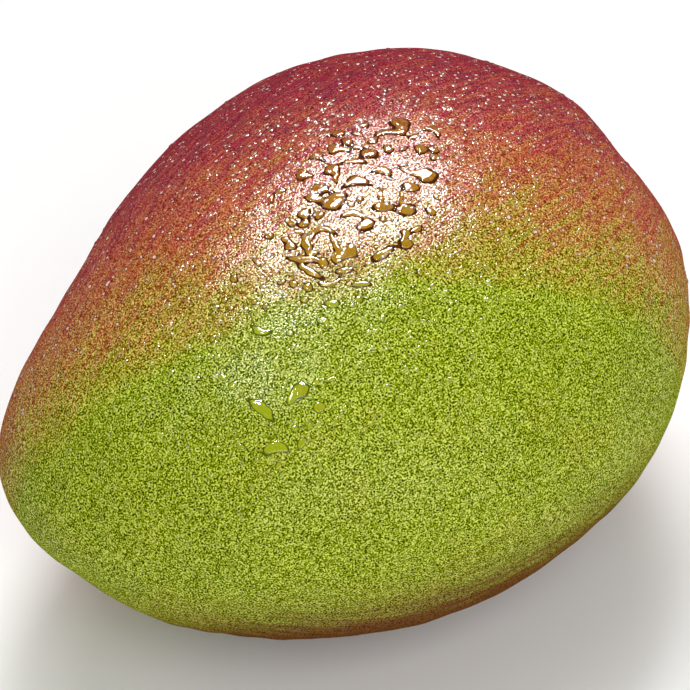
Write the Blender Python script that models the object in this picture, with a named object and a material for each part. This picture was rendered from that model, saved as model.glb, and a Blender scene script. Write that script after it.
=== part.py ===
"""A whole ripe mango, lying on one cheek: one solid fruit, as it grew.

Metres, +Z up. The long axis runs along X with the stem end at +X, the belly with
its beak is at +Y, the rounded back is at -Y and the two cheeks face up and down.
The fruit is modelled level about its own middle, then tilted a little, as its
weight settles it. The origin is under the middle of the tilted fruit, on the
surface that it rests on.
"""

import math
from collections import namedtuple

import bmesh
import bpy
from mathutils import Matrix, Vector

# The egg-shaped body, before its swells and hollows.
HALF_LENGTH = 0.0560
HALF_WIDTH_BELLY = 0.0442
HALF_WIDTH_BACK = 0.0452
HALF_THICKNESS = 0.0387
STEM_END_WIDER = 0.14  # the share by which the width grows towards the stem
STEM_END_THICKER = 0.09

# Swells stand above that egg and hollows sink below it. Each is a smooth mound round
# a direction from the middle of the fruit: around is its angle in the XY plane, from
# the stem end towards the belly, lift its angle above that plane, both in degrees,
# and spread the mound's half-width on a sphere of radius 1.
Swell = namedtuple("Swell", "name around lift height spread")
SWELLS = (
    Swell("belly shoulder", 44, 0, 0.0060, 0.89),
    Swell("beak", 157, 0, 0.0041, 0.29),
    Swell("sinus above the beak", 109, 0, -0.0012, 0.27),
    Swell("lower flank of the back", -111, 0, 0.0020, 0.42),
    Swell("tip", 184, 2, 0.0011, 0.21),
    Swell("dent by the stem", -9, 22, -0.0012, 0.12),
    Swell("hollow on the upper cheek", 117, 21, -0.0016, 0.17),
)

# The stem end: a shallow basin with the woody scar of the picked stalk in it.
STEM_AROUND = 7
BASIN_DEPTH = 0.0032
BASIN_SPREAD = 0.14
SCAR_HEIGHT = 0.0013
SCAR_TOP = 0.045  # on a sphere of radius 1, where the scar's flat top ends
SCAR_FOOT = 0.068

# Slow unevenness of the grown skin, as waves across the fruit: each has its direction,
# its length from crest to crest and its height.
Wave = namedtuple("Wave", "direction length height phase")
WAVES = (
    Wave((0.8, 0.5, 0.3), 0.034, 0.00016, 0.4),
    Wave((-0.3, 0.9, 0.4), 0.027, 0.00013, 2.1),
    Wave((0.5, -0.3, 0.8), 0.022, 0.00011, 4.0),
    Wave((0.9, -0.2, -0.4), 0.017, 0.00008, 1.3),
)

# How the fruit lies: the heavier stem end rides up on the swell of the cheek, so that
# the weight is over the flat spot.
STEM_RAISED = math.radians(3.5)
BELLY_RAISED = math.radians(2.1)
REST_DEPTH = 0.0007  # how far the lower cheek is pressed flat where it lies

SEGMENTS = 64  # faces round the long axis
RINGS = 48  # rows from the stem scar to the tip
RING_GATHER = 0.76  # how strongly the rows draw together at the scar
AT_POLE = 1e-6  # a point of the unit ball nearer its axis than this is a pole, and has no side
SHARP_EDGE = math.radians(40)  # faces that meet at more than this are shaded as an edge

SKIN_COLOUR = (0.33, 0.30, 0.05, 1.0)
SKIN_ROUGHNESS = 0.36


def clear_scene():
    """Empties the file, so that only the mango is left in it."""
    for obj in list(bpy.data.objects):
        bpy.data.objects.remove(obj, do_unlink=True)


def direction(around, lift=0.0):
    """The unit vector at two angles in degrees: around the fruit and above its middle."""
    turn, rise = math.radians(around), math.radians(lift)
    return Vector(
        (math.cos(turn) * math.cos(rise), math.sin(turn) * math.cos(rise), math.sin(rise))
    )


def smooth_step(low, high, value):
    """0 below low and 1 above high, with a soft rise between them."""
    share = min(1.0, max(0.0, (value - low) / (high - low)))
    return share * share * (3 - 2 * share)


def stem_relief(away):
    """Height of the stem end's basin and scar, at this distance from its middle on the unit sphere."""
    basin = -BASIN_DEPTH * math.exp(-((away / BASIN_SPREAD) ** 2))
    return basin + SCAR_HEIGHT * (1 - smooth_step(SCAR_TOP, SCAR_FOOT, away))


def skin_point(toward):
    """The point of the skin in this direction from the middle of the fruit."""
    half_width = HALF_WIDTH_BELLY if toward.y > 0 else HALF_WIDTH_BACK
    point = Vector(
        (
            HALF_LENGTH * toward.x,
            half_width * toward.y * (1 + STEM_END_WIDER * toward.x),
            HALF_THICKNESS * toward.z * (1 + STEM_END_THICKER * toward.x),
        )
    )
    raised = stem_relief((toward - direction(STEM_AROUND)).length)
    for swell in SWELLS:
        away = (toward - direction(swell.around, swell.lift)).length
        raised += swell.height * math.exp(-0.5 * (away / swell.spread) ** 2)
    for wave in WAVES:
        along = point.dot(Vector(wave.direction).normalized())
        raised += wave.height * math.sin(math.tau * along / wave.length + wave.phase)
    return point + toward * raised


def shape_fruit(bm):
    """Turns a unit ball, whose poles are the stem scar and the tip, into the fruit."""
    stem = direction(STEM_AROUND)
    to_stem = Vector((0, 0, 1)).rotation_difference(stem).to_matrix()
    for vert in bm.verts:
        unit = vert.co.normalized()
        polar = math.acos(min(1.0, max(-1.0, unit.z)))
        drawn = polar - RING_GATHER * math.sin(polar) * (1 + math.cos(polar)) / 2
        sides = Vector((unit.x, unit.y, 0))
        if sides.length > AT_POLE:
            sides.normalize()
        toward = to_stem @ (sides * math.sin(drawn) + Vector((0, 0, math.cos(drawn))))
        vert.co = skin_point(toward)


def lay_down(bm):
    """Tilts the level fruit to the way it lies."""
    tilt = Matrix.Rotation(BELLY_RAISED, 3, "X") @ Matrix.Rotation(-STEM_RAISED, 3, "Y")
    bmesh.ops.rotate(bm, cent=(0, 0, 0), matrix=tilt, verts=bm.verts)


def press_flat(bm):
    """Cuts the lowest sliver off and closes the cut, which leaves the flat spot that the fruit lies on."""
    lowest = min(vert.co.z for vert in bm.verts)
    level = Vector((0, 0, lowest + REST_DEPTH))
    everything = bm.verts[:] + bm.edges[:] + bm.faces[:]
    cut = bmesh.ops.bisect_plane(
        bm, geom=everything, plane_co=level, plane_no=(0, 0, -1), clear_outer=True
    )
    rim = [item for item in cut["geom_cut"] if isinstance(item, bmesh.types.BMEdge)]
    bmesh.ops.contextual_create(bm, geom=rim)


def stand_on_origin(bm):
    """Moves the fruit so that its flat spot is at z = 0 and the middle of its box above the origin."""
    corners = [
        [pick(vert.co[axis] for vert in bm.verts) for axis in range(3)] for pick in (min, max)
    ]
    middle = (Vector(corners[0]) + Vector(corners[1])) / 2
    shift = Vector((-middle.x, -middle.y, -corners[0][2]))
    bmesh.ops.transform(bm, matrix=Matrix.Translation(shift), verts=bm.verts)


def skin_material():
    """Waxy skin, in the colour halfway between the green and the blush."""
    material = bpy.data.materials.new("mango_skin")
    material.use_nodes = True
    shader = material.node_tree.nodes["Principled BSDF"]
    shader.inputs["Base Color"].default_value = SKIN_COLOUR
    shader.inputs["Roughness"].default_value = SKIN_ROUGHNESS
    shader.inputs["Metallic"].default_value = 0.0
    material.diffuse_color = SKIN_COLOUR
    return material


def make_mango(collection):
    """The fruit, as one closed solid."""
    bm = bmesh.new()
    bmesh.ops.create_uvsphere(bm, u_segments=SEGMENTS, v_segments=RINGS, radius=1.0)
    shape_fruit(bm)
    lay_down(bm)
    press_flat(bm)
    stand_on_origin(bm)
    bmesh.ops.recalc_face_normals(bm, faces=bm.faces)
    mesh = bpy.data.meshes.new("mango")
    bm.to_mesh(mesh)
    bm.free()
    mesh.shade_smooth()
    mesh.set_sharp_from_angle(angle=SHARP_EDGE)
    fruit = bpy.data.objects.new("mango", mesh)
    fruit.data.materials.append(skin_material())
    collection.objects.link(fruit)
    return fruit


def main():
    clear_scene()
    collection = bpy.data.collections.new("mango")
    bpy.context.scene.collection.children.link(collection)
    make_mango(collection)


main()
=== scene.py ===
"""A whole ripe mango, lying on one cheek with drops of water on it: its looks.

Metres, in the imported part's frame: the long axis runs along X with the stem end at +X,
the belly with its beak is at +Y, and the fruit lies on z = 0. The fruit is worked out
level about its own middle, then tilted and set down, as the solid is.
"""

import math
from collections import namedtuple

import bpy
import numpy as np
from mathutils import Matrix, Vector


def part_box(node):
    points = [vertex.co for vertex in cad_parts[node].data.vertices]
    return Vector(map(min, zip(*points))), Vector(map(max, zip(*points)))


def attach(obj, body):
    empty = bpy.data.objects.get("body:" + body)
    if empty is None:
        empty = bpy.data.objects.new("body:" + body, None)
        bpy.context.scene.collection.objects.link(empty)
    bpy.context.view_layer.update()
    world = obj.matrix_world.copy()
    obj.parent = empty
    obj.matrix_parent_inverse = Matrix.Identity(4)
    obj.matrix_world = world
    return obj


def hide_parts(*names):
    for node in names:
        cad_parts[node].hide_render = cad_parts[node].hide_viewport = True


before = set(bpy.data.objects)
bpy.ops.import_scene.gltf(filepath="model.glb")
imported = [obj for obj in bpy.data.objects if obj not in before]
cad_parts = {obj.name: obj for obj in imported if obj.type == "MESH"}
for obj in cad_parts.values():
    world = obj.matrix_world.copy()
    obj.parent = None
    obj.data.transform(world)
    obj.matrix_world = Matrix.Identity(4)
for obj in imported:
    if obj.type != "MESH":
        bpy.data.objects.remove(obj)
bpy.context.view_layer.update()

# The fruit
# One ripe fruit, skin over flesh, grown as one piece and picked at the stalk. Its form
# is an egg that swells towards the stem end, with a shallow basin round the stalk's
# woody scar, a blunt beak low on the belly side and a thin, waxy, slightly uneven skin.
MM = 0.001
HALF_LENGTH = 56.0 * MM
HALF_WIDTH_BELLY = 44.2 * MM
HALF_WIDTH_BACK = 45.2 * MM
HALF_THICKNESS = 38.7 * MM
STEM_END_WIDER = 0.14  # the share by which the width grows towards the stem
STEM_END_THICKER = 0.09

# Swells stand above that egg and hollows sink below it. Around and lift are the angles of
# each one's middle in degrees, and spread is its half-width on a sphere of radius 1.
Swell = namedtuple("Swell", "name around lift height spread")
SWELLS = (
    Swell("belly shoulder", 44, 0, 6.0 * MM, 0.89),
    Swell("beak", 157, 0, 4.1 * MM, 0.29),
    Swell("sinus above the beak", 109, 0, -1.2 * MM, 0.27),
    Swell("lower flank of the back", -111, 0, 2.0 * MM, 0.42),
    Swell("tip", 184, 2, 1.1 * MM, 0.21),
    Swell("dent by the stem", -9, 22, -1.2 * MM, 0.12),
    Swell("hollow on the upper cheek", 117, 21, -1.6 * MM, 0.17),
)
STEM_AROUND = 7
BASIN_DEPTH = 3.2 * MM
BASIN_SPREAD = 0.14
SCAR_HEIGHT = 1.3 * MM
SCAR_TOP = 0.045  # on a sphere of radius 1, where the scar's flat top ends
SCAR_FOOT = 0.068

# Slow unevenness of the grown skin, as waves across the fruit, with finer ripples added.
Wave = namedtuple("Wave", "direction length height phase")
WAVES = [
    Wave((0.8, 0.5, 0.3), 34 * MM, 0.16 * MM, 0.4),
    Wave((-0.3, 0.9, 0.4), 27 * MM, 0.13 * MM, 2.1),
    Wave((0.5, -0.3, 0.8), 22 * MM, 0.11 * MM, 4.0),
    Wave((0.9, -0.2, -0.4), 17 * MM, 0.08 * MM, 1.3),
]
RIPPLE_COUNT = 18
RIPPLE_LENGTHS = (5.0 * MM, 10.0 * MM)
RIPPLE_HEIGHT = 0.022 * MM
RIPPLE_SEED = 11
draw = np.random.default_rng(RIPPLE_SEED)
for _ in range(RIPPLE_COUNT):
    WAVES.append(
        Wave(
            draw.normal(size=3),
            draw.uniform(*RIPPLE_LENGTHS),
            RIPPLE_HEIGHT,
            draw.uniform(0, math.tau),
        )
    )

STEM_RAISED = math.radians(3.5)
BELLY_RAISED = math.radians(2.1)
REST_DEPTH = 0.7 * MM  # how far the lower cheek is pressed flat where it lies
ROWS = 262  # rows from the stem scar to the tip
COLUMNS = 360  # round the long axis
ROW_GATHER = 0.76  # how strongly the rows draw together at the scar


def unit(vectors):
    """Each vector at length 1."""
    return vectors / np.linalg.norm(vectors, axis=-1, keepdims=True)


def direction(around, lift=0.0):
    """The unit vector at two angles in degrees: round the fruit from its stem end towards
    its belly, and up."""
    turn, rise = np.radians(around), np.radians(lift)
    return np.stack(
        [np.cos(turn) * np.cos(rise), np.sin(turn) * np.cos(rise), np.sin(rise)], axis=-1
    )


def smooth_step(low, high, value):
    """0 below low and 1 above high, with a soft rise between them."""
    share = np.clip((value - low) / (high - low), 0, 1)
    return share * share * (3 - 2 * share)


def off(toward, place):
    """How far each direction is from one place, straight across the unit sphere."""
    return np.linalg.norm(toward - place, axis=-1)


STEM = direction(STEM_AROUND)


def skin_point(toward):
    """The skin in each direction from the middle of the level fruit: an egg whose width
    and thickness grow towards the stem, plus, along the direction, the basin as a bell,
    the scar as a step, a bell for each swell and a sine for each wave."""
    half_width = np.where(toward[..., 1] > 0, HALF_WIDTH_BELLY, HALF_WIDTH_BACK)
    point = np.stack(
        [
            HALF_LENGTH * toward[..., 0],
            half_width * toward[..., 1] * (1 + STEM_END_WIDER * toward[..., 0]),
            HALF_THICKNESS * toward[..., 2] * (1 + STEM_END_THICKER * toward[..., 0]),
        ],
        axis=-1,
    )
    from_stem = off(toward, STEM)
    raised = -BASIN_DEPTH * np.exp(-((from_stem / BASIN_SPREAD) ** 2))
    raised += SCAR_HEIGHT * (1 - smooth_step(SCAR_TOP, SCAR_FOOT, from_stem))
    for swell in SWELLS:
        away = off(toward, direction(swell.around, swell.lift))
        raised += swell.height * np.exp(-0.5 * (away / swell.spread) ** 2)
    for wave in WAVES:
        along = point @ unit(np.array(wave.direction))
        raised += wave.height * np.sin(math.tau * along / wave.length + wave.phase)
    return point + toward * raised[..., None]


def turned(angle, first, second):
    """The matrix that turns by an angle in the plane of two axes, from the first to the second."""
    matrix = np.eye(3)
    matrix[first, first] = matrix[second, second] = math.cos(angle)
    matrix[second, first] = math.sin(angle)
    matrix[first, second] = -math.sin(angle)
    return matrix


TILT = turned(BELLY_RAISED, 1, 2) @ turned(STEM_RAISED, 0, 2)

# The skin's grid: rings round the long axis, drawn together at the scar, and two poles.
polar = np.linspace(0, math.pi, ROWS + 1)[1:-1]
polar -= ROW_GATHER * np.sin(polar) * (1 + np.cos(polar)) / 2
turn = np.linspace(0, math.tau, COLUMNS, endpoint=False)
belly_side = direction(STEM_AROUND + 90)
ring = np.cos(turn)[:, None] * belly_side + np.sin(turn)[:, None] * np.array([0.0, 0.0, 1.0])
rings = np.cos(polar)[:, None, None] * STEM + np.sin(polar)[:, None, None] * ring
skin_toward = np.concatenate([rings.reshape(-1, 3), [STEM, -STEM]])
skin_level = skin_point(skin_toward)

tilted = skin_level @ TILT.T
box_low, box_high = (np.array(corner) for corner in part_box("mango"))
middle = (box_low + box_high) / 2 - (tilted.min(axis=0) + tilted.max(axis=0)) / 2
middle[2] = -(tilted[:, 2].min() + REST_DEPTH)


def set_down(level):
    """Level points, tilted as the fruit lies and moved onto the floor, where the lower
    cheek is pressed flat."""
    points = level @ TILT.T + middle
    points[..., 2] = np.maximum(points[..., 2], 0)
    return points


def mesh_piece(name, points, faces):
    """A mesh object of these points and faces (arrays of corners), shaded smooth."""
    mesh = bpy.data.meshes.new(name)
    corners = [face for part in faces for face in part.tolist()]
    mesh.from_pydata(points.reshape(-1, 3).tolist(), [], corners)
    mesh.shade_smooth()
    piece = bpy.data.objects.new(name, mesh)
    bpy.context.scene.collection.objects.link(piece)
    return piece


def give(piece, name, values):
    """Puts a number, or a vector, on each point of a piece, for its material to read."""
    kind, field = ("FLOAT", "value") if values.ndim == 1 else ("FLOAT_VECTOR", "vector")
    layer = piece.data.attributes.new(name, kind, "POINT")
    layer.data.foreach_set(field, values.astype(np.float32).ravel())


def quads_between(rows, columns, closed):
    """The corners of the faces of a grid of points, counted row by row. Closed joins the
    last column to the first."""
    row = np.arange(rows - 1)[:, None]
    column = np.arange(columns if closed else columns - 1)[None, :]
    beside = (column + 1) % columns
    corners = [row * columns + column, row * columns + beside]
    corners += [(row + 1) * columns + beside, (row + 1) * columns + column]
    return np.stack(corners, axis=-1).reshape(-1, 4)


# Faces between the rings, and a fan of them round each pole.
inner_rows = ROWS - 1
around_once = np.arange(COLUMNS)
beside = (around_once + 1) % COLUMNS
last_row = (inner_rows - 1) * COLUMNS
stem_pole = np.full(COLUMNS, inner_rows * COLUMNS)
tip_pole = stem_pole + 1
stem_fan = np.stack([stem_pole, beside, around_once], axis=-1)
tip_fan = np.stack([tip_pole, last_row + around_once, last_row + beside], axis=-1)
skin_faces = quads_between(inner_rows, COLUMNS, closed=True)
skin = mesh_piece("skin", set_down(skin_level), [skin_faces, stem_fan, tip_fan])

# The blush is where the fruit faced the sun: redness falls away from that side. A band
# low on the back is dull maroon, with painted shade darkening it towards the underside.
SUN_SIDE = direction(59, 6)
BLUSH_REACH = 110.0  # degrees from the sun side to where the red ends
BLUSH_FADE = 61.0  # degrees over which it fades
BLUSH_CURVE = 0.67  # the power by which it fades
BLUSH_FULL = 0.89  # the redness of the sun side
SHADED_FLUSH_AROUND = -104.0  # the middle and spreads of the maroon and shaded band, in degrees
SHADED_FLUSH_LIFT = -46.0
SHADED_FLUSH_LENGTH = 48.0
SHADED_FLUSH_WIDTH = 26.0


def redness(toward):
    """From 0, green, to 0.9, crimson: a power of the angle that is left to the blush's edge."""
    angle = np.degrees(np.arccos(np.clip(toward @ SUN_SIDE, -1, 1)))
    return BLUSH_FULL * np.clip((BLUSH_REACH - angle) / BLUSH_FADE, 0, 1) ** BLUSH_CURVE


def flush(toward):
    """How maroon and how darkened by painted shade the low back is: a bell across the band times a
    bell along it.
    """
    around = np.degrees(np.arctan2(toward[..., 1], toward[..., 0]))
    lift = np.degrees(np.arcsin(np.clip(toward[..., 2], -1, 1)))
    along = (around - SHADED_FLUSH_AROUND + 180) % 360 - 180
    return np.exp(-0.5 * ((lift - SHADED_FLUSH_LIFT) / SHADED_FLUSH_WIDTH) ** 2 - 0.5 * (along / SHADED_FLUSH_LENGTH) ** 2)


give(skin, "redness", redness(skin_toward))
give(skin, "flush", flush(skin_toward))
give(skin, "from_stem", off(skin_toward, STEM))

# Where a point is round the long axis, and how far along it: streaks that read this run
# lengthwise, because they change more slowly that way.
ALONG_SLOWER = 0.12
lengthwise = np.stack(
    np.broadcast_arrays(
        np.cos(turn)[None, :], np.sin(turn)[None, :], polar[:, None] * ALONG_SLOWER
    ),
    axis=-1,
).reshape(-1, 3)
ends = [[0, 0, 0], [0, 0, math.pi * ALONG_SLOWER]]
give(skin, "lengthwise", np.concatenate([lengthwise, ends]))


class Wire:
    """One output of a material's nodes. Arithmetic on it adds Math nodes."""

    def __init__(self, finish, socket):
        self.finish = finish
        self.socket = socket

    def math(self, operation, *values):
        return self.finish.node("ShaderNodeMath", {"operation": operation}, dict(enumerate(values)))

    def __add__(self, other):
        return self.math("ADD", self, other)

    def __sub__(self, other):
        return self.math("SUBTRACT", self, other)

    def __rsub__(self, other):
        return self.math("SUBTRACT", other, self)

    def __mul__(self, other):
        return self.math("MULTIPLY", self, other)

    def __truediv__(self, other):
        return self.math("DIVIDE", self, other)

    def __abs__(self):
        return self.math("ABSOLUTE", self)

    __radd__ = __add__
    __rmul__ = __mul__


def shown(red, green, blue):
    """A colour as a display shows it, 0 to 255, as the light it stands for."""
    share = np.array([red, green, blue]) / 255
    light = np.where(share <= 0.04045, share / 12.92, ((share + 0.055) / 1.055) ** 2.4)
    return (*light.tolist(), 1.0)


# The Mix node's sockets for colours, by number, because their names repeat on it.
MIX_SHARE, MIX_FIRST, MIX_SECOND, MIX_RESULT = 0, 6, 7, 2


class Finish:
    """A material in the making."""

    def __init__(self, name):
        self.material = bpy.data.materials.new(name)
        self.material.use_nodes = True
        self.nodes = self.material.node_tree.nodes
        self.nodes.clear()

    def node(self, kind, settings, sockets, output=0):
        """Adds a node: its settings first, then its sockets' values and links. Gives the
        output that is asked for."""
        made = self.nodes.new(kind)
        for name, value in settings.items():
            if name == "stops":
                while len(made.color_ramp.elements) < len(value):
                    made.color_ramp.elements.new(0.5)
                for element, (place, colour) in zip(made.color_ramp.elements, value):
                    element.position = place
                    element.color = colour
            else:
                setattr(made, name, value)
        for name, value in sockets.items():
            if isinstance(value, Wire):
                self.material.node_tree.links.new(value.socket, made.inputs[name])
            else:
                made.inputs[name].default_value = value
        return Wire(self, made.outputs[output])

    def place(self):
        return self.node("ShaderNodeTexCoord", {}, {}, "Object")

    def attribute(self, name, output="Fac"):
        return self.node("ShaderNodeAttribute", {"attribute_name": name}, {}, output)

    def noise(self, place, size, detail=2.0, rough=0.5):
        """Soft noise about 0.5, with features of this size."""
        sockets = {"Vector": place, "Scale": 1 / size, "Detail": detail, "Roughness": rough}
        return self.node("ShaderNodeTexNoise", {}, sockets)

    def spots(self, place, spacing, output="Distance"):
        """Distance to the nearest of many scattered points, in spacings."""
        sockets = {"Vector": place, "Scale": 1 / spacing}
        return self.node("ShaderNodeTexVoronoi", {}, sockets, output)

    def rise(self, value, low, high):
        """0 below low and 1 above high, with a soft rise; low above high turns it round."""
        sockets = {"Value": value, "From Min": low, "From Max": high}
        return self.node("ShaderNodeMapRange", {"interpolation_type": "SMOOTHSTEP"}, sockets)

    def mixed(self, share, first, second):
        """Two colours, mixed by a share of the second."""
        sockets = {MIX_SHARE: share, MIX_FIRST: first, MIX_SECOND: second}
        return self.node("ShaderNodeMix", {"data_type": "RGBA"}, sockets, MIX_RESULT)

    def ramp(self, value, stops):
        return self.node("ShaderNodeValToRGB", {"stops": stops}, {"Fac": value}, "Color")

    def principled(self, sockets):
        return self.node("ShaderNodeBsdfPrincipled", {}, sockets)

    def shaders_mixed(self, share, first, second):
        """Two shaders, mixed by a share of the second."""
        return self.node("ShaderNodeMixShader", {}, {0: share, 1: first, 2: second})

    def surface(self, shader):
        """Ends the material in this shader."""
        ending = self.nodes.new("ShaderNodeOutputMaterial")
        self.material.node_tree.links.new(shader.socket, ending.inputs["Surface"])
        return self.material


# The skin's colours by redness, green to crimson: between the grain, of its pale ridges
# and of the dark hollows.
REDNESS_SHOWN = (-0.1, 0.95)
EVEN_SKIN = (
    (-0.10, shown(124, 146, 0)),
    (0.00, shown(130, 148, 0)),
    (0.10, shown(138, 140, 4)),
    (0.22, shown(152, 130, 18)),
    (0.34, shown(170, 124, 36)),
    (0.50, shown(178, 102, 48)),
    (0.65, shown(176, 76, 54)),
    (0.80, shown(168, 50, 54)),
    (0.92, shown(158, 36, 48)),
)
PALE_GRAIN = (
    (-0.10, shown(206, 218, 94)),
    (0.00, shown(210, 222, 90)),
    (0.10, shown(220, 216, 96)),
    (0.22, shown(230, 208, 110)),
    (0.34, shown(234, 196, 116)),
    (0.50, shown(228, 168, 112)),
    (0.65, shown(220, 138, 110)),
    (0.80, shown(208, 108, 100)),
    (0.92, shown(194, 84, 84)),
)
DARK_GRAIN = (
    (-0.10, shown(50, 60, 0)),
    (0.00, shown(56, 64, 0)),
    (0.10, shown(64, 60, 0)),
    (0.22, shown(74, 48, 0)),
    (0.34, shown(92, 42, 4)),
    (0.50, shown(104, 32, 10)),
    (0.65, shown(98, 14, 16)),
    (0.80, shown(88, 2, 16)),
    (0.92, shown(78, 0, 14)),
)


def ripened(red):
    """Redness as a share of its range, for the ramps."""
    low, high = REDNESS_SHOWN
    return (red - low) / (high - low)


def stops_of(table):
    """A colour table as a ramp's stops."""
    return [(ripened(red), colour) for red, colour in table]


# How large the skin's markings are, or how far apart they lie. Streaks run along the
# fruit, and their widths are shares of its half-width.
CLOUD_SIZE = 11 * MM
FLECK_SIZE = 1.3 * MM
PATCH_SIZE = 4.5 * MM
RIDGE_SIZE = 0.50 * MM
GRAIN_SPACING = 0.95 * MM
FINE_SIZE = 0.26 * MM
RAGGED_SIZE = 0.3 * MM
RED_DOT_SPACING = 1.9 * MM
PALE_DOT_SPACING = 1.2 * MM
PORE_SPACING = 1.12 * MM
PORE_PATCH_SIZE = 5 * MM
MOTTLE_STREAK = 0.022
HUE_STREAK = 0.014
PLUM_STREAK = 0.009
MAROON_STREAK = 0.030
STAIN_STREAK = 0.05
SCAR_EDGE_SIZE = 1.5 * MM
WOOD_GRAIN_SIZE = 0.6 * MM
WOOD_RELIEF_SIZE = 0.7 * MM
PEEL_SIZE = 0.9 * MM
DIMPLE_SIZE = 3.5 * MM
GLOSS_PATCH_SIZE = 2.2 * MM
BUMP_HEIGHT = 0.055 * MM
BUMP_STRENGTH = 0.50
SKIN_ROUGHNESS = 0.215
WAX_SHINE = 0.24

# Redness, mottled by clouds, streaks and flecks, and the grain of ridges and hollows.
waxy = Finish("waxy_skin")
place = waxy.place()
length_place = waxy.attribute("lengthwise", "Vector")
red = waxy.attribute("redness")
clouds = waxy.noise(place, CLOUD_SIZE, 3.0) - 0.5
streaks = waxy.noise(length_place, MOTTLE_STREAK, 3.0) - 0.5
flecks = waxy.noise(place, FLECK_SIZE, 2.0) - 0.5
in_blush = waxy.rise(red, -0.05, 0.25)
mottled = red + clouds * 0.30 + streaks * in_blush * 0.60 + flecks * in_blush * 0.22 - 0.02
share = ripened(mottled)
patches = waxy.noise(place, PATCH_SIZE, 2.0) - 0.5
ridges = waxy.rise(abs(waxy.noise(place, RIDGE_SIZE, 1.0) - 0.5), 0.065, 0.012)
grains = waxy.rise(waxy.spots(place, GRAIN_SPACING), 0.30, 0.16)
fine = waxy.noise(place, FINE_SIZE, 0.5) - 0.5
height = fine * 4.4 + (ridges - 0.35) * (0.10 + patches * 0.3) + grains * 0.06
raised = waxy.rise(height, -0.05, 0.95)
hollows = waxy.rise(height, 0.05, -0.85)
even_skin = waxy.ramp(share, stops_of(EVEN_SKIN))
pale_skin = waxy.ramp(share, stops_of(PALE_GRAIN))
dark_skin = waxy.ramp(share, stops_of(DARK_GRAIN))

# Long soft streaks in the red: of crimson, of orange and, where it is deepest, of plum.
hues = waxy.noise(length_place, HUE_STREAK, 4.0, 0.6)
in_deep = waxy.rise(mottled, 0.25, 0.60)
crimson_streak = waxy.rise(hues, 0.49, 0.60) * in_deep
orange_streak = waxy.rise(hues, 0.48, 0.38) * in_deep
plum_hues = waxy.noise(length_place, PLUM_STREAK, 4.0, 0.6)
plum_streak = waxy.rise(plum_hues, 0.44, 0.58) * waxy.rise(mottled, 0.52, 0.78)

# Lenticels, the skin's breathing pores: dark red in the orange, pale with a dark ring in
# the red, and small and dark with a pale ring in the green.
ragged = (waxy.noise(place, RAGGED_SIZE, 1.0) - 0.5) * 0.16
from_red_dot = waxy.spots(place, RED_DOT_SPACING) + ragged
red_dot = waxy.rise(from_red_dot, 0.25, 0.13) * waxy.rise(mottled, 0.10, 0.22)
red_dot = red_dot * waxy.rise(mottled, 0.9, 0.6)
smaller = (waxy.spots(place, PALE_DOT_SPACING, "Color") - 0.4) * 0.36
from_pale_dot = waxy.spots(place, PALE_DOT_SPACING) + ragged * 1.4 + smaller
in_red = waxy.rise(mottled, 0.16, 0.34)
dark_ring = waxy.rise(from_pale_dot, 0.34, 0.22) * in_red
pale_dot = waxy.rise(from_pale_dot, 0.19, 0.12) * in_red
from_pore = waxy.spots(place, PORE_SPACING) + ragged
pale_ring = waxy.rise(from_pore, 0.36, 0.25) * waxy.rise(mottled, 0.45, 0.25)
pore_patches = waxy.rise(waxy.noise(place, PORE_PATCH_SIZE, 1.0), 0.36, 0.56)
pore = waxy.rise(from_pore, 0.21, 0.14) * pore_patches
green_pore = pore * waxy.rise(mottled, 0.5, 0.3)

# The low band of maroon colour and painted shade, drawn out along the fruit.
in_flush_and_shade = waxy.attribute("flush")
drawn_out = waxy.noise(length_place, MAROON_STREAK, 4.0, 0.65)
maroon = in_flush_and_shade * 2.0 + (drawn_out - 0.5) * 1.3 * waxy.rise(in_flush_and_shade, 0.02, 0.4)
flushed_and_shaded = waxy.rise(maroon, 0.15, 1.20)
maroon_and_shade_skin = waxy.mixed(hollows, shown(112, 62, 30), shown(56, 16, 14))

# The stalk's scar: dry brown wood, with a russet stain in the basin round it.
from_stem = waxy.attribute("from_stem")
scar_edge = (waxy.noise(place, SCAR_EDGE_SIZE) - 0.5) * 0.02
scar = waxy.rise(from_stem + scar_edge, 0.066, 0.056)
stain_edge = (waxy.noise(length_place, STAIN_STREAK, 3.0) - 0.5) * 0.22
stain = waxy.rise(from_stem + stain_edge, 0.17, 0.07)
wood_grain = waxy.rise(waxy.noise(place, WOOD_GRAIN_SIZE, 3.0), 0.4, 0.6)
wood = waxy.mixed(wood_grain, shown(66, 46, 26), shown(142, 112, 74))

# What lies over the plain skin, each over those before it: where, how strongly and in
# which colour.
markings = (
    (hollows, 1.0, dark_skin),
    (raised, 1.0, pale_skin),
    (crimson_streak, 0.62, shown(176, 32, 66)),
    (orange_streak, 0.50, shown(198, 88, 44)),
    (plum_streak, 0.60, shown(104, 38, 66)),
    (red_dot, 0.75, shown(136, 26, 18)),
    (dark_ring, 0.70, shown(92, 4, 16)),
    (pale_dot, 0.80, shown(250, 226, 212)),
    (pale_ring, 0.32, shown(222, 226, 110)),
    (green_pore, 0.95, shown(22, 30, 0)),
    # maroon colour with painted shade, low on the back
    (flushed_and_shaded, 0.95, maroon_and_shade_skin),
    (stain, 0.55, shown(104, 84, 34)),
    (scar, 1.0, wood),
)
skin_colour = even_skin
for where, strength, colour in markings:
    skin_colour = waxy.mixed(where * strength, skin_colour, colour)

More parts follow.
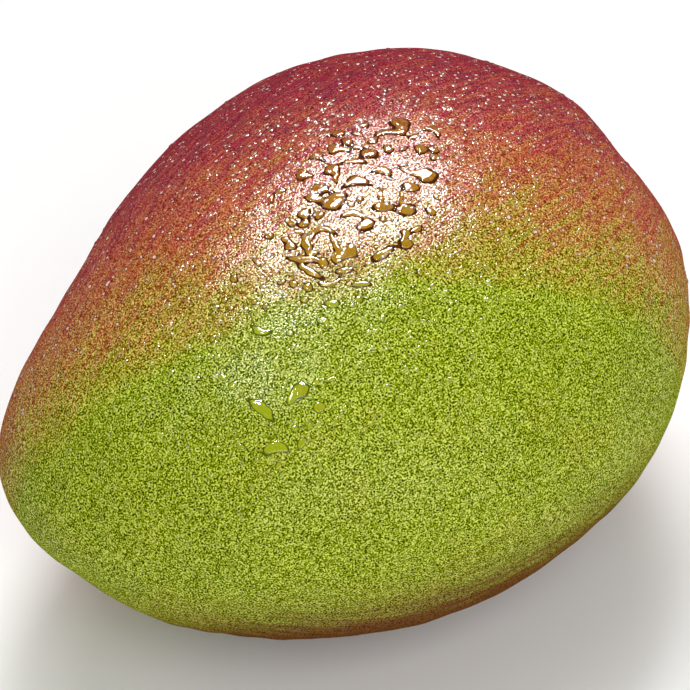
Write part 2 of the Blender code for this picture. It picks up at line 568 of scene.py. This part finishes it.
# The wax shines on the grain's ridges, less in its hollows and in the pores, and hardly
# at all where the skin turns away: there a dull bloom hides it.
peel = waxy.noise(place, PEEL_SIZE, 2.0)
relief = raised * 0.5 - hollows * 0.4 + peel * 0.6 - red_dot * 0.5 - pore * 0.6
relief = relief + waxy.noise(place, DIMPLE_SIZE) * 1.2
relief = relief + scar * waxy.noise(place, WOOD_RELIEF_SIZE, 3.0) * 3.0
bumps = {"Strength": BUMP_STRENGTH, "Distance": BUMP_HEIGHT, "Height": relief}
bumpy = waxy.node("ShaderNodeBump", {}, bumps)
gloss_patches = (waxy.noise(place, GLOSS_PATCH_SIZE, 3.0) - 0.5) * 0.08
roughness = SKIN_ROUGHNESS + gloss_patches + scar * 0.45
looks = {"Base Color": skin_colour, "Roughness": roughness, "Normal": bumpy}
in_bloom = waxy.principled({**looks, "Specular IOR Level": 0.0})
in_wax = waxy.principled({**looks, "Specular IOR Level": WAX_SHINE})
facing_away = waxy.node("ShaderNodeLayerWeight", {}, {"Blend": 0.5}, "Facing")
edge_on = waxy.rise(facing_away, 0.40, 0.85)
on_ridges = 0.06 + waxy.rise(height, -0.20, 0.35) * 0.94
waxed = (1 - edge_on * 0.95) * on_ridges * (1 - pore * 0.9)
skin.data.materials.append(waxy.surface(waxy.shaders_mixed(waxed, in_bloom, in_wax)))
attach(skin, "root")
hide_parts("mango")

# The camera
# It looks down on the fruit from the tip's side, far enough off for the long lens's
# flat drawing.
CAMERA_AROUND = math.radians(-39.7)
CAMERA_RISE = math.radians(42.5)
CAMERA_DISTANCE = 0.700
PHOTO_SIDE = 690  # pixels
PIXELS_PER_METRE = 6194  # at the middle of the fruit
SENSOR = 36.0  # millimetres wide
MIDDLE_PIXEL = np.array([345.73, 361.91])  # where the fruit's middle lies in the photo


def placed(side, up, back, place):
    """The matrix that sets an object at a place, with these directions for its own three axes."""
    return Matrix([*zip(side, up, back, place), (0, 0, 0, 1)])


view_right = np.array([math.cos(CAMERA_AROUND), math.sin(CAMERA_AROUND), 0.0])
view_back = np.array(
    [
        math.sin(CAMERA_AROUND) * math.cos(CAMERA_RISE),
        -math.cos(CAMERA_AROUND) * math.cos(CAMERA_RISE),
        math.sin(CAMERA_RISE),
    ]
)
view_up = np.cross(view_back, view_right)
aim_shift = (np.array([PHOTO_SIDE, PHOTO_SIDE]) / 2 - MIDDLE_PIXEL) / PIXELS_PER_METRE
aim = middle + view_right * aim_shift[0] - view_up * aim_shift[1]
camera_place = aim + view_back * CAMERA_DISTANCE
camera_data = bpy.data.cameras.new("camera")
camera_data.sensor_width = SENSOR
camera_data.lens = CAMERA_DISTANCE * PIXELS_PER_METRE / PHOTO_SIDE * SENSOR
camera = bpy.data.objects.new("camera", camera_data)
camera.matrix_world = placed(view_right, view_up, view_back, camera_place)
bpy.context.scene.collection.objects.link(camera)
bpy.context.scene.camera = camera

# The wet patch
# Rinse water that has drawn together on the waxy upper cheek, in flat puddles with
# steep edges. Each piece of water is closed: its top is clear, and its base is the skin
# as it looks under water, darker and deeper in colour than the dry skin.
Puddle = namedtuple("Puddle", "across down long wide lean bow")
# Where each lies in the photo, in pixels; how long and wide it is and how far its middle
# bows up above its ends, in millimetres; and how it leans, in degrees, up to the right.
PUDDLES = (
    Puddle(324, 134, 1.8, 0.9, -15, 0.5),
    Puddle(339, 133, 2.0, 1.3, 18, 0.0),
    Puddle(347, 142, 1.9, 1.3, -22, 0.0),
    Puddle(357, 147, 1.7, 0.9, 0, 0.2),
    Puddle(333, 149, 1.4, 1.6, 0, 0.0),
    Puddle(341, 150, 3.2, 0.9, -2, 0.5),
    Puddle(317, 158, 2.5, 1.1, -15, 0.9),
    Puddle(332, 171, 2.4, 2.0, -20, 0.3),
    Puddle(336, 178, 0.7, 1.9, 10, 0.0),
    Puddle(302, 175, 1.7, 2.3, 0, 0.0),
    Puddle(308, 176, 1.8, 0.7, 0, 0.0),
    Puddle(320, 192, 3.4, 1.5, 15, 1.1),
    Puddle(337, 196, 2.6, 0.8, 4, 0.1),
    Puddle(354, 162, 3.5, 1.0, -8, 0.4),
    Puddle(357, 183, 4.1, 1.3, 4, 1.0),
    Puddle(364, 125, 1.7, 1.1, 0, 0.2),
    Puddle(358, 134, 2.0, 0.6, -18, 0.1),
    Puddle(400, 122, 3.0, 1.9, 0, 0.0),
    Puddle(402, 130, 1.6, 1.6, 0, 0.0),
    Puddle(388, 133, 4.4, 1.1, 8, 0.8),
    Puddle(374, 140, 1.6, 0.8, 35, 0.0),
    Puddle(432, 131, 2.9, 1.3, -20, 1.2),
    Puddle(416, 137, 1.8, 0.9, 0, 0.2),
    Puddle(388, 149, 1.6, 1.7, 0, 0.0),
    Puddle(404, 149, 1.5, 0.8, 35, 0.0),
    Puddle(421, 149, 1.7, 1.8, 0, 0.0),
    Puddle(434, 150, 1.9, 1.1, -35, 0.0),
    Puddle(434, 158, 1.5, 1.1, 10, 0.0),
    Puddle(369, 154, 2.7, 1.9, -5, 0.3),
    Puddle(404, 165, 1.6, 0.7, 6, 0.0),
    Puddle(383, 172, 3.0, 1.3, -12, 1.0),
    Puddle(405, 171, 1.9, 0.5, -28, 0.0),
    Puddle(427, 176, 3.0, 2.2, -10, 0.0),
    Puddle(416, 174, 2.2, 0.8, 5, 0.0),
    Puddle(411, 186, 2.2, 1.0, -4, 0.2),
    Puddle(315, 198, 2.9, 0.9, -14, 0.0),
    Puddle(332, 203, 3.7, 2.0, 12, -0.7),
    Puddle(304, 214, 1.8, 1.5, 0, 0.0),
    Puddle(318, 216, 1.4, 1.1, 0, 0.0),
    Puddle(291, 222, 1.3, 1.4, 30, 0.0),
    Puddle(304, 224, 1.7, 1.1, 28, 0.0),
    Puddle(351, 205, 0.9, 0.7, 10, 0.0),
    Puddle(359, 200, 1.1, 1.2, 0, 0.0),
    Puddle(354, 216, 4.0, 0.9, -8, 1.2),
    Puddle(366, 225, 2.7, 1.6, 25, 0.0),
    Puddle(322, 233, 4.2, 1.0, 12, 1.6),
    Puddle(306, 243, 1.5, 2.6, 20, 0.0),
    Puddle(335, 243, 0.9, 3.2, 25, 0.0),
    Puddle(313, 252, 2.0, 0.8, -10, -0.3),
    Puddle(304, 259, 5.0, 0.9, -8, 0.0),
    Puddle(324, 263, 1.2, 1.3, 0, 0.0),
    Puddle(351, 251, 1.6, 1.8, 0, 0.8),
    Puddle(337, 257, 1.4, 1.9, 0, 0.0),
    Puddle(345, 255, 2.4, 0.8, -4, 0.0),
    Puddle(383, 207, 3.1, 1.4, 6, 0.0),
    Puddle(380, 196, 0.8, 2.8, 0, 0.0),
    Puddle(406, 210, 3.0, 1.7, 12, 0.0),
    Puddle(401, 198, 0.6, 2.4, 0, 0.0),
    Puddle(411, 189, 2.2, 1.1, 10, 0.0),
    Puddle(383, 219, 1.2, 0.7, -8, 0.0),
    Puddle(405, 234, 1.5, 1.3, 0, 0.0),
    Puddle(406, 244, 1.9, 1.5, 10, 0.0),
    Puddle(383, 254, 4.0, 1.3, 35, 0.0),
    Puddle(431, 212, 1.8, 1.1, -40, 0.0),
    Puddle(256, 262, 2.0, 0.7, -62, 0.0),
    Puddle(310, 271, 4.6, 1.1, -38, 0.0),
    Puddle(290, 247, 2.0, 1.0, -12, 0.0),
    Puddle(344, 271, 2.6, 1.0, 6, 0.0),
    Puddle(330, 283, 3.0, 0.6, 14, -0.5),
    Puddle(361, 285, 2.8, 0.9, 4, 0.3),
    Puddle(285, 240, 1.6, 0.9, -28, 0.0),
    Puddle(269, 236, 1.3, 1.2, 0, 0.0),
    Puddle(234, 278, 1.2, 0.9, -50, 0.0),
    Puddle(282, 282, 1.4, 0.8, 30, 0.0),
    Puddle(293, 284, 1.1, 1.0, 0, 0.0),
    Puddle(308, 287, 1.2, 1.1, 60, 0.0),
    Puddle(263, 287, 1.1, 0.8, 10, 0.0),
    Puddle(224, 300, 1.0, 0.8, -20, 0.0),
    Puddle(230, 309, 1.2, 0.8, -40, 0.0),
    Puddle(254, 302, 1.0, 0.8, -40, 0.0),
    Puddle(265, 306, 1.1, 0.8, 40, 0.0),
    Puddle(261, 330, 3.2, 0.9, -20, -0.5),
    Puddle(305, 300, 1.2, 0.8, 25, 0.0),
    Puddle(332, 304, 2.1, 1.0, 4, -0.2),
    Puddle(352, 306, 1.1, 0.8, -20, 0.0),
    Puddle(358, 300, 1.5, 0.7, 5, 0.4),
    Puddle(322, 321, 1.7, 0.8, 4, 0.0),
    Puddle(327, 325, 0.7, 1.1, 15, 0.0),
    Puddle(296, 318, 0.9, 0.7, 0, 0.0),
    Puddle(289, 333, 1.3, 0.7, -20, 0.0),
    Puddle(213, 339, 1.1, 0.8, -45, 0.0),
    Puddle(417, 229, 1.9, 0.7, 30, 0.0),
    Puddle(437, 247, 0.9, 0.5, 60, 0.0),
    Puddle(436, 258, 0.8, 0.5, 45, 0.0),
    Puddle(419, 273, 0.8, 0.7, 45, 0.0),
    Puddle(437, 197, 1.3, 0.6, -50, 0.0),
    Puddle(280, 192, 1.8, 0.8, 22, 0.0),
    Puddle(272, 199, 0.8, 1.2, 0, 0.0),
    Puddle(291, 149, 1.0, 0.6, 60, 0.0),
    Puddle(323, 121, 1.0, 0.7, 0, 0.0),
)
LOW_PUDDLES = (
    Puddle(300, 391, 2.7, 1.9, 20, 0.0),
    Puddle(293, 398, 2.1, 0.8, 58, 0.0),
    Puddle(319, 408, 1.7, 1.3, 10, 0.0),
    Puddle(262, 409, 4.6, 1.4, -38, 0.4),
    Puddle(276, 450, 3.6, 1.5, 8, 0.9),
    Puddle(302, 443, 1.8, 1.1, 62, 0.0),
    Puddle(232, 433, 2.3, 0.5, 45, 0.0),
    Puddle(223, 378, 1.3, 0.6, -20, 0.0),
    Puddle(233, 386, 1.6, 0.9, 30, 0.0),
    Puddle(315, 383, 1.2, 0.7, 40, 0.0),
    Puddle(331, 379, 2.0, 0.5, 15, 0.0),
    Puddle(309, 426, 1.3, 0.6, 70, 0.0),
    Puddle(294, 428, 1.2, 0.7, 0, 0.0),
    Puddle(335, 422, 1.4, 0.5, 60, 0.0),
    Puddle(345, 408, 1.0, 0.6, 40, 0.0),
    Puddle(241, 447, 1.0, 0.8, 10, 0.0),
    Puddle(217, 447, 1.0, 0.5, 0, 0.0),
    Puddle(278, 466, 1.3, 0.6, 50, 0.0),
    Puddle(256, 461, 0.9, 0.6, -30, 0.0),
)
PATCH_MIDDLE = (333, 222)  # the middle of the patch, in pixels of the photo
PATCH_HALF = (20.5 * MM, 22.5 * MM)  # half the grid's reach, across and up
LOW_MIDDLE = (280, 420)
LOW_HALF = (14.0 * MM, 14.0 * MM)
LOW_DEPTH = 0.6  # the low puddles' depth, as a share of the patch's
GRID_STEP = 0.125 * MM
PUDDLE_LONGER = 1.08  # how much larger the puddles are drawn than they are given
PUDDLE_WIDER = 1.25
PUDDLE_SHARPNESS = 1.3  # how little the puddles run together
PUDDLE_DEEPEST = 0.50 * MM
LEAST_DEPTH = 0.05  # in millimetres, to which a share of the puddle's width is added
DEPTH_FOR_WIDTH = 0.20
BEAD_WIDTHS = (0.8, 1.5)  # in millimetres: narrow water stands round and wide water flat
BEAD_ROUNDNESS = (0.70, 0.10)
NO_WATER = 1e-9  # the least that the puddles add up to, so that its log can be taken
FULLEST = 1.4  # the fullness past which the water stands no higher
EDGE_STEEPNESS = 3.0  # of flat water
RIM_INTO_WATER = 0.05  # the rim's reach on both sides of the water's edge, in fullness
RIM_INNER = -0.20  # where the rim begins to slope down into the skin
RIM_OUTER = -0.42
RIM_HEIGHT = 0.035 * MM
RIM_THICKNESS = 0.010 * MM
RIM_SUNK = 0.10 * MM
BASE_CLEAR = 0.025 * MM  # the base's height over the skin
WOBBLE_SEED = 5
WOBBLE_COUNT = 9
WOBBLE_LENGTHS = (1.2, 3.4)  # in millimetres, from crest to crest
WOBBLE_PUSH = 0.055  # in millimetres
EGG = np.array([HALF_LENGTH, (HALF_WIDTH_BELLY + HALF_WIDTH_BACK) / 2, HALF_THICKNESS])
WATER_NUMBER, UNDER_NUMBER = 0, 1  # the two materials' places on each piece of water
NORMAL_STEP = 0.0001  # on a sphere of radius 1
NORMAL_GUIDE = (0.95, 0.05, -0.3)  # a direction with no water in it, to take the steps from


def skin_normal(toward):
    """The way the skin faces there: the cross product of two short steps across it."""
    first = unit(np.cross(toward, NORMAL_GUIDE))
    second = np.cross(toward, first)
    along, across = (
        skin_point(unit(toward + NORMAL_STEP * way)) - skin_point(unit(toward - NORMAL_STEP * way))
        for way in (first, second)
    )
    return unit(np.cross(along, across))


def skin_below(points, line, steps=10):
    """The directions whose skin lies on the line through each point: each step moves the
    direction by what is still missed across the line, as a share of the egg's half axes."""
    toward = unit(points / EGG)
    for _ in range(steps):
        missed = points - skin_point(toward)
        missed = missed - line * (missed * line).sum(axis=-1, keepdims=True)
        toward = unit(toward + missed / EGG)
    return toward


def skin_under_pixel(across, down):
    """The directions of the skin that the camera sees at these pixels of the photo: a line
    from the camera through each pixel's point, followed onto the skin."""
    offset = np.stack([across - PHOTO_SIDE / 2, PHOTO_SIDE / 2 - down], axis=-1) / PIXELS_PER_METRE
    on_screen = aim + offset[..., :1] * view_right + offset[..., 1:] * view_up
    line = unit(on_screen - camera_place) @ TILT
    near = (on_screen - middle) @ TILT - line * HALF_THICKNESS
    return skin_below(near, line)


def level_axes(normal):
    """Two unit vectors in the skin that faces this way: the camera's right, and up towards
    the top of the picture."""
    right = view_right @ TILT
    across = unit(right - normal * (normal @ right)[..., None])
    return across, np.cross(normal, across)


def grid_over(middle_pixel, half):
    """Directions in a grid over part of the skin: a flat grid through the skin there, moved
    onto it along the way that the skin faces at the middle."""
    middle_toward = skin_under_pixel(*np.array(middle_pixel, float))
    facing = skin_normal(middle_toward)
    across, up = level_axes(facing)
    counts = np.round(2 * np.array(half) / GRID_STEP).astype(int) + 1
    reach = [np.linspace(-side, side, count) for side, count in zip(half, counts)]
    steps_up, steps_across = np.meshgrid(reach[1], reach[0], indexing="ij")
    plane = skin_point(middle_toward) + steps_across[..., None] * across
    return skin_below(plane + steps_up[..., None] * up, facing)


def wobbled(points):
    """The points, pushed aside by the sum of a few sine waves, so that the water's edges
    are uneven."""
    seeded = np.random.default_rng(WOBBLE_SEED)
    wobble = np.zeros(points.shape)
    for _ in range(WOBBLE_COUNT):
        way = unit(seeded.normal(size=3)) * math.tau / (seeded.uniform(*WOBBLE_LENGTHS) * MM)
        push = seeded.normal(size=3) * WOBBLE_PUSH * MM
        wobble += push * np.sin(points @ way + seeded.uniform(0, math.tau))[..., None]
    return points + wobble


def water_over(points, puddles, depth_share):
    """Fullness, depth and roundness of the water at each point. A puddle adds
    exp(k (1 - r squared)), where r is 1 along its edge. The log of their sum over k is the
    fullness: 0 at the water's edge and 1 in a puddle's middle. Depth and roundness are the
    puddles' own, weighed by what each of them adds."""
    pixels = np.array([[puddle.across, puddle.down] for puddle in puddles], float)
    spots = skin_under_pixel(pixels[:, 0], pixels[:, 1])
    water, depths, roundnesses = (np.zeros(points.shape[:2]) for _ in range(3))
    for puddle, spot, across, up in zip(puddles, skin_point(spots), *level_axes(skin_normal(spots))):
        from_spot = points - spot
        lean = math.radians(puddle.lean)
        along = from_spot @ (across * math.cos(lean) + up * math.sin(lean)) / MM
        along = along / (puddle.long * PUDDLE_LONGER / 2)
        over = from_spot @ (up * math.cos(lean) - across * math.sin(lean)) / MM
        over = (over - puddle.bow * (0.5 - along**2)) / (puddle.wide * PUDDLE_WIDER / 2)
        added = np.exp(PUDDLE_SHARPNESS * (1 - along**2 - over**2))
        depth = min(PUDDLE_DEEPEST, (LEAST_DEPTH + DEPTH_FOR_WIDTH * puddle.wide) * MM)
        water += added
        depths += added * depth * depth_share
        roundnesses += added * float(np.interp(puddle.wide, BEAD_WIDTHS, BEAD_ROUNDNESS))
    water = np.maximum(water, NO_WATER)
    return np.log(water) / PUDDLE_SHARPNESS, depths / water, roundnesses / water


def lay_film(name, puddles, middle_pixel, half, depth_share):
    """Water on part of the skin, as one closed mesh, and the material number of each of
    its faces. It stands over the skin by its depth times a mix of tanh of the fullness,
    for flat water, and the fullness, for round beads. A thin rim lies just outside, painted
    dark as shade. The base lies close over the skin, and the two meet under it, outside the rim."""
    toward = grid_over(middle_pixel, half)
    under_film = skin_point(toward)
    normal = skin_normal(toward)
    fullness, depth, roundness = water_over(wobbled(under_film), puddles, depth_share)
    edge = fullness / depth_share
    inside = smooth_step(RIM_OUTER, RIM_INNER, edge)
    domed = np.clip(fullness, 0, FULLEST)
    top_height = depth * ((1 - roundness) * np.tanh(EDGE_STEEPNESS * domed) + roundness * domed)
    top_height = top_height + RIM_HEIGHT * inside - RIM_SUNK * (1 - inside)
    base_height = np.minimum(top_height - RIM_THICKNESS, BASE_CLEAR)
    top = under_film + normal * top_height[..., None]
    base = under_film + normal * base_height[..., None]
    rows, columns = fullness.shape
    quads = quads_between(rows, columns, closed=False)
    wet = edge.ravel() > RIM_OUTER
    kept = quads[wet[quads].any(axis=1)]
    number = np.arange(rows * columns)
    base_number = np.where(wet, number + rows * columns, number)
    corners = np.concatenate([kept, base_number[kept][:, ::-1]])
    used, packed = np.unique(corners, return_inverse=True)
    points = np.concatenate([top.reshape(-1, 3), base.reshape(-1, 3)])[used]
    film = mesh_piece(name, set_down(points), [packed.reshape(-1, 4)])
    for label, values in (("redness", redness(toward)), ("fullness", edge), ("roundness", roundness)):
        give(film, label, np.tile(values.ravel(), 2)[used])
    is_clear = edge.ravel()[kept].max(axis=1) > RIM_INTO_WATER
    top_numbers = np.where(is_clear, WATER_NUMBER, UNDER_NUMBER)
    base_numbers = np.full(len(kept), UNDER_NUMBER)
    return film, np.concatenate([top_numbers, base_numbers]).astype(np.int32)


film, film_numbers = lay_film("wet_patch", PUDDLES, PATCH_MIDDLE, PATCH_HALF, 1.0)
low_film, low_numbers = lay_film("wet_patch_low", LOW_PUDDLES, LOW_MIDDLE, LOW_HALF, LOW_DEPTH)

# Clear water; where it is steep, its tint is painted shade. Light for the skin's colour
# passes straight through it. The rounder the water stands, the larger and softer its glints are.
TURNS_RED = (0.02, 0.22)  # the redness over which the painted shade of edges and rims changes
EDGE_SHADE_OVER_GREEN = shown(150, 164, 70)
EDGE_SHADE_OVER_RED = shown(120, 52, 20)
BEAD_ROUGHNESS = 0.22
WATER_BENDING = 1.38  # the index of refraction, a little over real water's
WATER_SHINE = 0.8
WHITE = (1, 1, 1, 1)
LET_THROUGH = (0.97, 0.97, 0.97, 1)

clear = Finish("water")
steep = clear.rise(clear.attribute("fullness"), 0.50, 0.15)
over_red = clear.rise(clear.attribute("redness"), *TURNS_RED)
edge_shade_tint = clear.mixed(over_red, EDGE_SHADE_OVER_GREEN, EDGE_SHADE_OVER_RED)
lamp_ray = clear.node("ShaderNodeLightPath", {}, {}, "Is Shadow Ray")
soft_ray = clear.node("ShaderNodeLightPath", {}, {}, "Is Diffuse Ray")
wet_shader = clear.principled(
    {
        "Base Color": clear.mixed(steep * 0.9, WHITE, edge_shade_tint),
        "Roughness": clear.attribute("roundness") * BEAD_ROUGHNESS,
        "IOR": WATER_BENDING,
        "Specular IOR Level": WATER_SHINE,
        "Transmission Weight": 1.0,
    }
)
see_through = clear.node("ShaderNodeBsdfTransparent", {}, {"Color": LET_THROUGH})
water_material = clear.surface(
    clear.shaders_mixed(lamp_ray + soft_ray, wet_shader, see_through)
)

# The skin under water, by redness, and the dark line round the water's edge, which is painted shade.
UNDER_WATER = (
    (-0.10, shown(146, 168, 0)),
    (0.00, shown(148, 166, 0)),
    (0.12, shown(158, 144, 0)),
    (0.26, shown(160, 116, 8)),
    (0.42, shown(162, 104, 22)),
    (0.60, shown(158, 84, 30)),
    (0.80, shown(138, 46, 34)),
    (0.92, shown(122, 28, 28)),
)
UNDER_CLOUD_SIZE = 2.0 * MM
UNDER_GRAIN_SIZE = 0.35 * MM
UNDER_GRAIN = shown(206, 190, 70)
RIM_SHADE_OVER_GREEN = shown(84, 98, 0)
RIM_SHADE_OVER_RED = shown(74, 26, 0)
UNDER_ROUGHNESS = 0.6

under = Finish("skin_under_water")
under_place = under.place()
under_clouds = (under.noise(under_place, UNDER_CLOUD_SIZE, 2.0) - 0.5) * 0.3
under_red = under.attribute("redness")
under_colour = under.ramp(ripened(under_red + under_clouds), stops_of(UNDER_WATER))
under_grain = under.rise(under.noise(under_place, UNDER_GRAIN_SIZE, 1.0), 0.35, 0.70)
under_colour = under.mixed(under_grain * 0.25, under_colour, UNDER_GRAIN)
# Painted shade: the skin under the water darkens towards its edge.
rim = under.rise(under.attribute("fullness"), 0.58, 0.22)
rim_shade_colour = under.mixed(under.rise(under_red, *TURNS_RED), RIM_SHADE_OVER_GREEN, RIM_SHADE_OVER_RED)
under_looks = {
    "Base Color": under.mixed(rim * 0.92, under_colour, rim_shade_colour),
    "Roughness": UNDER_ROUGHNESS,
    "Specular IOR Level": 0.0,
}
under_material = under.surface(under.principled(under_looks))


def finish_water(piece, numbers):
    """Gives a piece of water its two materials, by the number of each face."""
    piece.data.materials.append(water_material)
    piece.data.materials.append(under_material)
    piece.data.polygons.foreach_set("material_index", numbers)


for piece, numbers in ((film, film_numbers), (low_film, low_numbers)):
    finish_water(piece, numbers)
    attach(piece, "root")

# The droplets
# Fine spray around the wet patch: round beads, thickest where the puddles are and on the
# red shoulder above them, with a few on the green cheek.
DROPLET_COUNT = 1500
DROPLET_SIDES = 10
DROPLET_RINGS = (1.0, 0.78, 0.42)  # shares of the radius, from the rim in
DROPLET_FULLNESS = (0.25, 0.62, 0.9)  # at those rings: the lowest carries the most painted shade
DROPLET_RADII = (0.24 * MM, 0.66 * MM)
DROPLET_HEIGHT = 0.30  # as a share of the radius
DROPLET_SUNK = 0.03 * MM
DOME_POWER = 0.8  # of the height's fall towards the rim
SMALL_POWER = 1.7  # how much commoner small beads are than large ones
LOBES = np.array([2, 3])  # waves round a bead's outline
MOST_UNEVEN = 0.16  # their height, as a share of the radius
SPRAY_SEED = 23
SPRAY_TRIES = 60000
SPRAY_PIXEL = (378.0, 186.0)
SPRAY_SPREAD = 0.38  # on a sphere of radius 1
SPRAY_LEAST = 0.035  # the chance of a bead far from the spray's middle
SPRAY_LOWEST = 0.1  # below this height on the sphere there are no such beads

spray = np.random.default_rng(SPRAY_SEED)
spray_middle = skin_under_pixel(*np.array(SPRAY_PIXEL))
tries = unit(spray.normal(size=(SPRAY_TRIES, 3)))
chance = np.exp(-0.5 * (off(tries, spray_middle) / SPRAY_SPREAD) ** 2)
chance = np.maximum(chance, SPRAY_LEAST * (tries[:, 2] > SPRAY_LOWEST))
beads = tries[spray.uniform(size=len(tries)) < chance][:DROPLET_COUNT]
size_draw = spray.uniform(size=len(beads)) ** SMALL_POWER
radius = DROPLET_RADII[0] + (DROPLET_RADII[1] - DROPLET_RADII[0]) * size_draw
bead_skin = skin_point(beads)
bead_normal = skin_normal(beads)
bead_across, bead_up = level_axes(bead_normal)

# Each bead is a dome of rings round its middle, with a crown over it and a foot under it.
angle = np.linspace(0, math.tau, DROPLET_SIDES, endpoint=False)
uneven = spray.uniform(0.0, MOST_UNEVEN, (len(beads), len(LOBES), 1))
phase = spray.uniform(0, math.tau, (len(beads), len(LOBES), 1))
outline = 1 + (uneven * np.cos(LOBES[None, :, None] * angle + phase)).sum(axis=1)
ring_share = np.array(DROPLET_RINGS)
reach = radius[:, None, None] * ring_share[None, :, None] * outline[:, None, :]
flat = (
    bead_skin[:, None, None]
    + (reach * np.cos(angle))[..., None] * bead_across[:, None, None]
    + (reach * np.sin(angle))[..., None] * bead_up[:, None, None]
)
ring_toward = skin_below(flat, bead_normal[:, None, None], steps=5)
dome = (1 - ring_share**2) ** DOME_POWER
lift = radius[:, None, None] * DROPLET_HEIGHT * dome[None, :, None]
lift = lift - DROPLET_SUNK * (ring_share == 1)[None, :, None]
ring_points = skin_point(ring_toward) + lift[..., None] * bead_normal[:, None, None]
crown = bead_skin + (radius * DROPLET_HEIGHT)[:, None] * bead_normal
foot = bead_skin + BASE_CLEAR * bead_normal
bead_points = np.concatenate(
    [ring_points.reshape(len(beads), -1, 3), crown[:, None], foot[:, None]], axis=1
)
each = bead_points.shape[1]
crown_number = np.full(DROPLET_SIDES, each - 2)
foot_number = np.full(DROPLET_SIDES, each - 1)
side = np.arange(DROPLET_SIDES)
next_side = (side + 1) % DROPLET_SIDES
inmost = (len(DROPLET_RINGS) - 1) * DROPLET_SIDES
bead_faces = (
    quads_between(len(DROPLET_RINGS), DROPLET_SIDES, closed=True),
    np.stack([inmost + side, inmost + next_side, crown_number], axis=-1),
    np.stack([next_side, side, foot_number], axis=-1),
)
first_point = (np.arange(len(beads)) * each)[:, None, None]
faces = [(part + first_point).reshape(-1, part.shape[1]) for part in bead_faces]
droplets = mesh_piece("droplets", set_down(bead_points.reshape(-1, 3)), faces)
bead_redness = np.repeat(redness(beads), each)
bead_fullness = [*np.repeat(DROPLET_FULLNESS, DROPLET_SIDES), 1.0, 1.0]
give(droplets, "redness", bead_redness)
give(droplets, "roundness", np.ones(len(bead_redness)))
give(droplets, "fullness", np.tile(bead_fullness, len(beads)))
face_counts = [len(faces[0]) + len(faces[1]), len(faces[2])]
finish_water(droplets, np.repeat([WATER_NUMBER, UNDER_NUMBER], face_counts))
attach(droplets, "root")

# The floor and the light
# A plain pale floor and an even pale surround. Two wide soft lamps, over the fruit and in
# front of it, light its colour. Three more make its gloss: one over the wet patch, one
# to its left and a long low one in front.
FLOOR_HALF = 3.0
FLOOR_CLOUD_SIZE = 0.4
FLOOR_DARKER = (0.80, 0.80, 0.79, 1)
FLOOR_LIGHTER = (0.84, 0.84, 0.83, 1)
FLOOR_ROUGHNESS = 0.7
SURROUND_COLOUR = (1.0, 0.98, 0.94, 1)
SURROUND_STRENGTH = 0.30

floor_mesh = bpy.data.meshes.new("floor")
floor_signs = [(-1, -1), (1, -1), (1, 1), (-1, 1)]
floor_corners = [(x * FLOOR_HALF, y * FLOOR_HALF, 0) for x, y in floor_signs]
floor_mesh.from_pydata(floor_corners, [], [(0, 1, 2, 3)])
floor = bpy.data.objects.new("floor", floor_mesh)
bpy.context.scene.collection.objects.link(floor)
pale = Finish("pale_floor")
floor_clouds = pale.noise(pale.place(), FLOOR_CLOUD_SIZE, 2.0)
pale_colour = pale.mixed(floor_clouds, FLOOR_DARKER, FLOOR_LIGHTER)
floor_look = pale.principled({"Base Color": pale_colour, "Roughness": FLOOR_ROUGHNESS})
floor_mesh.materials.append(pale.surface(floor_look))


def soft_lamp(name, toward, distance, wide, high, brightness, kind, spin=0.0):
    """A flat lamp that faces the fruit, turned in its own plane by spin, in degrees.
    Brightness is what its face shows. Its kind is what it gives the fruit: colour or gloss."""
    data = bpy.data.lights.new(name, "AREA")
    data.shape = "RECTANGLE"
    data.size = wide
    data.size_y = high
    data.energy = brightness * wide * high * math.pi
    lamp = bpy.data.objects.new(name, data)
    back = unit(np.array(toward, float))
    level = unit(np.cross((0.0, 0.0, 1.0), back))
    turned_by = math.radians(spin)
    side = level * math.cos(turned_by) - np.cross(back, level) * math.sin(turned_by)
    up = np.cross(back, side)
    lamp.matrix_world = placed(side, up, back, middle + back * distance)
    lamp.visible_diffuse = kind == "colour"
    lamp.visible_glossy = kind == "gloss"
    lamp.visible_transmission = False
    bpy.context.scene.collection.objects.link(lamp)


soft_lamp("key", (0.20, 0.33, 0.92), 0.60, 0.44, 0.44, 3.2, "colour")
soft_lamp("key_gloss", (0.235, 0.305, 0.92), 0.599, 0.18, 0.34, 170.0, "gloss", spin=28)
soft_lamp("left", (-0.49, -0.13, 0.86), 0.60, 0.12, 0.12, 55.0, "gloss")
soft_lamp("front", (-0.27, -0.73, 0.63), 0.90, 0.70, 0.70, 3.4, "colour")
soft_lamp("low", (-0.31, -0.93, 0.20), 0.90, 1.00, 0.34, 4.0, "gloss")

world = bpy.data.worlds.new("surround")
world.use_nodes = True
surround = world.node_tree.nodes["Background"]
surround.inputs["Color"].default_value = SURROUND_COLOUR
surround.inputs["Strength"].default_value = SURROUND_STRENGTH
bpy.context.scene.world = world
bpy.context.scene.view_settings.view_transform = "Standard"
